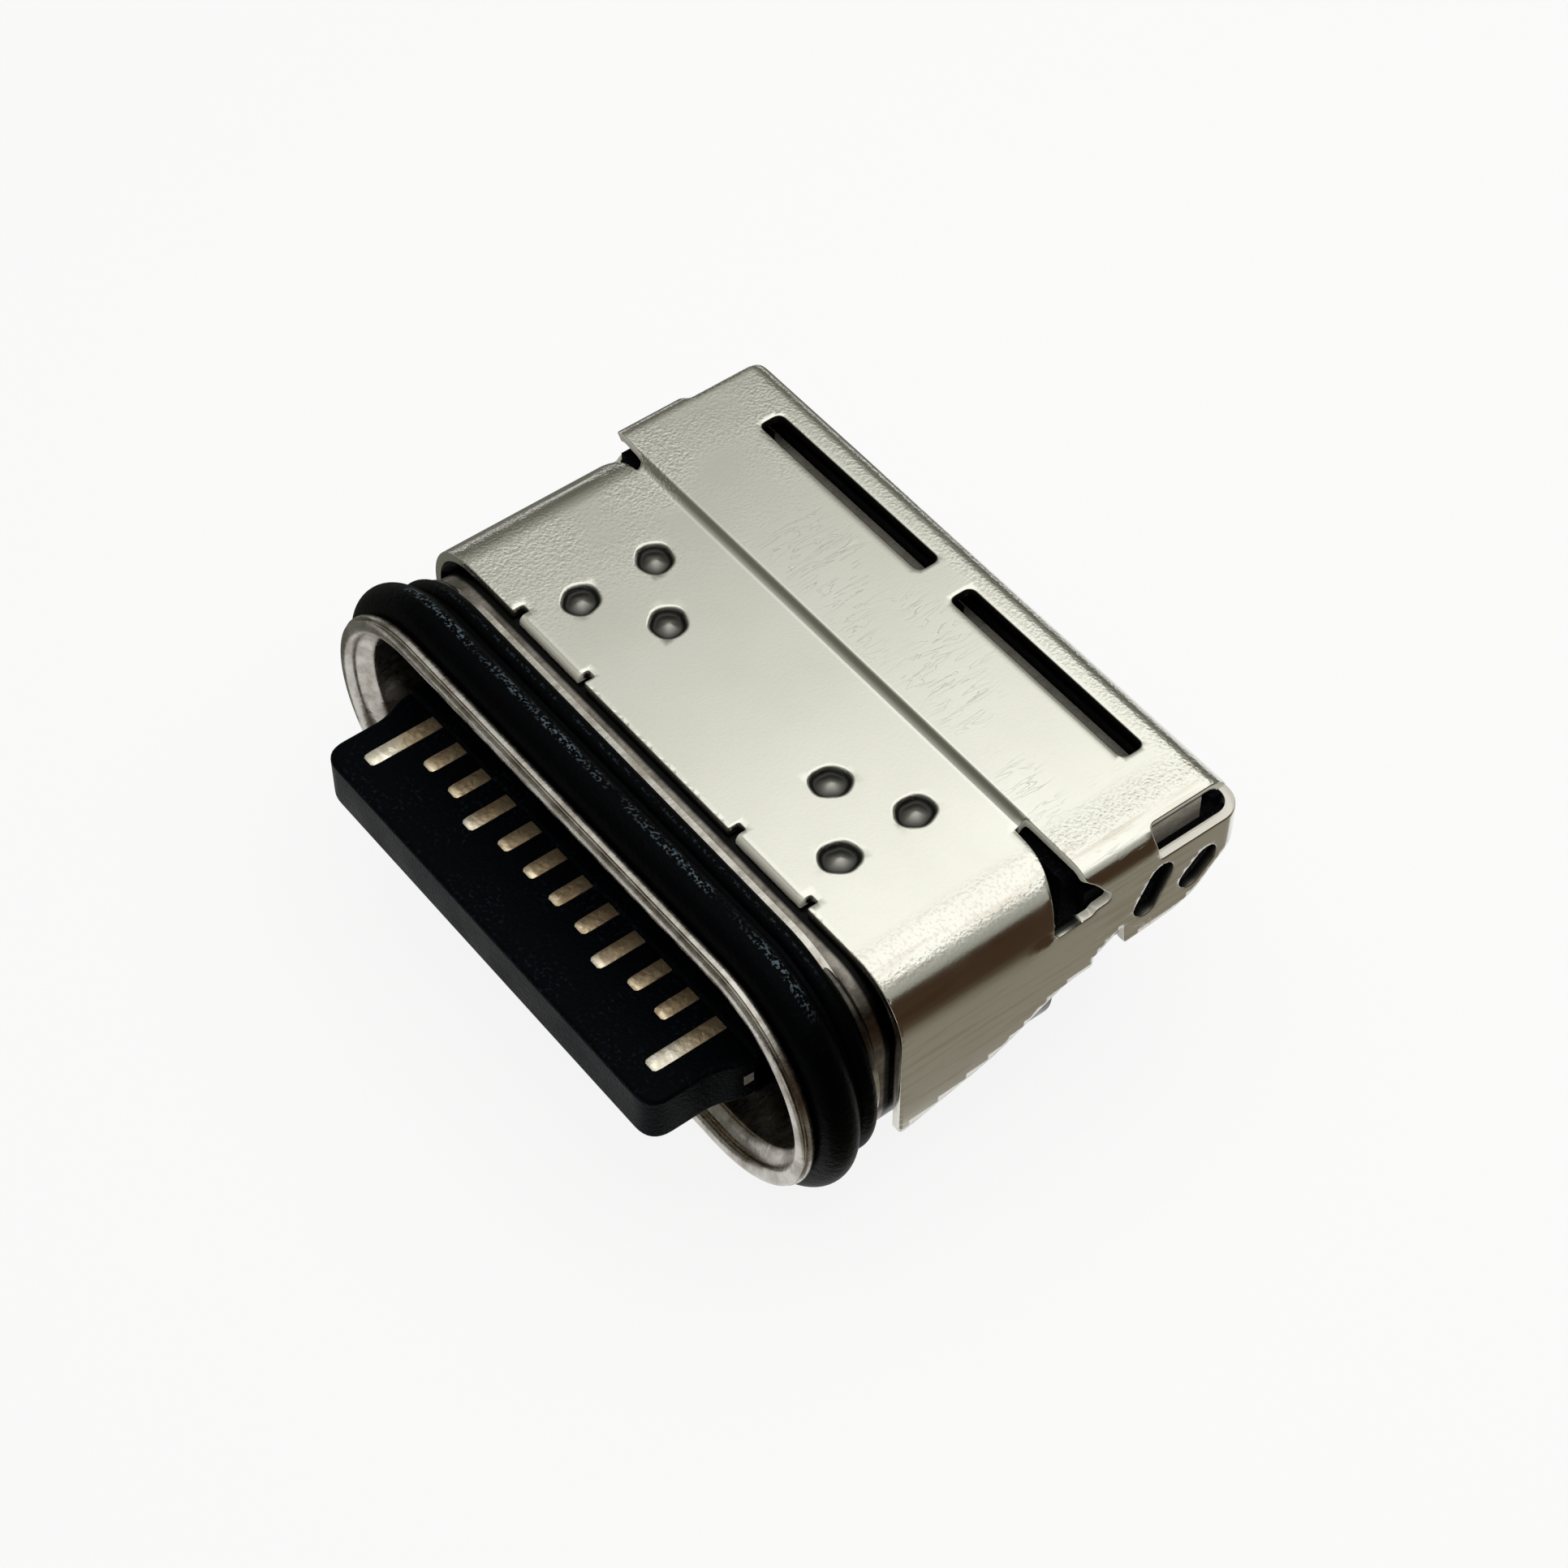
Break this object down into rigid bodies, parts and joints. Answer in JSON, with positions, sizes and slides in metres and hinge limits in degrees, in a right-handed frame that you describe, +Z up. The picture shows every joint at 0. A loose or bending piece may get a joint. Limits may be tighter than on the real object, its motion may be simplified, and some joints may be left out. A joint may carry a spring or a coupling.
{
  "type": "usb-c socket",
  "caption": "Waterproof type C socket for a circuit board edge, with a ridged rubber seal, a welded steel cover and two rows of gold contacts.",
  "frame": {"origin": "centre of the outline at the board plane", "axes": "+X along the mouth, +Y from the mouth to the rear, +Z up from the board"},
  "size_m": [0.0096, 0.0074, 0.0038],
  "materials": {
    "mouth_steel": "satin",
    "cover_steel": "satin",
    "bracket_steel": "satin",
    "seal_rubber": "satin",
    "tongue_plastic": "matte",
    "carrier_plastic": "matte",
    "block_plastic": "matte",
    "potting_resin": "gloss",
    "contact_gold": "satin"
  },
  "bodies": {
    "root": {"mouth_shell": "mouth_steel", "seal_ring": "seal_rubber", "inner_shell": "mouth_steel", "top_cover": "cover_steel", "rear_bracket": "bracket_steel", "bottom_plate": "cover_steel", "tongue_body": "tongue_plastic", "latch_plate": "bracket_steel", "upper_carrier": "carrier_plastic", "lower_carrier": "carrier_plastic", "upper_ground_plate": "mouth_steel", "lower_ground_plate": "mouth_steel", "potting_seal": "potting_resin", "rear_block": "block_plastic", "contact_a1": "contact_gold", "contact_a2": "contact_gold", "contact_a3": "contact_gold", "contact_a4": "contact_gold", "contact_a5": "contact_gold", "contact_a6": "contact_gold", "contact_a7": "contact_gold", "contact_a8": "contact_gold", "contact_a9": "contact_gold", "contact_a10": "contact_gold", "contact_a11": "contact_gold", "contact_a12": "contact_gold", "contact_b1": "contact_gold", "contact_b2": "contact_gold", "contact_b3": "contact_gold", "contact_b4": "contact_gold", "contact_b5": "contact_gold", "contact_b6": "contact_gold", "contact_b7": "contact_gold", "contact_b8": "contact_gold", "contact_b9": "contact_gold", "contact_b10": "contact_gold", "contact_b11": "contact_gold", "contact_b12": "contact_gold"}
  },
  "joints": []
}
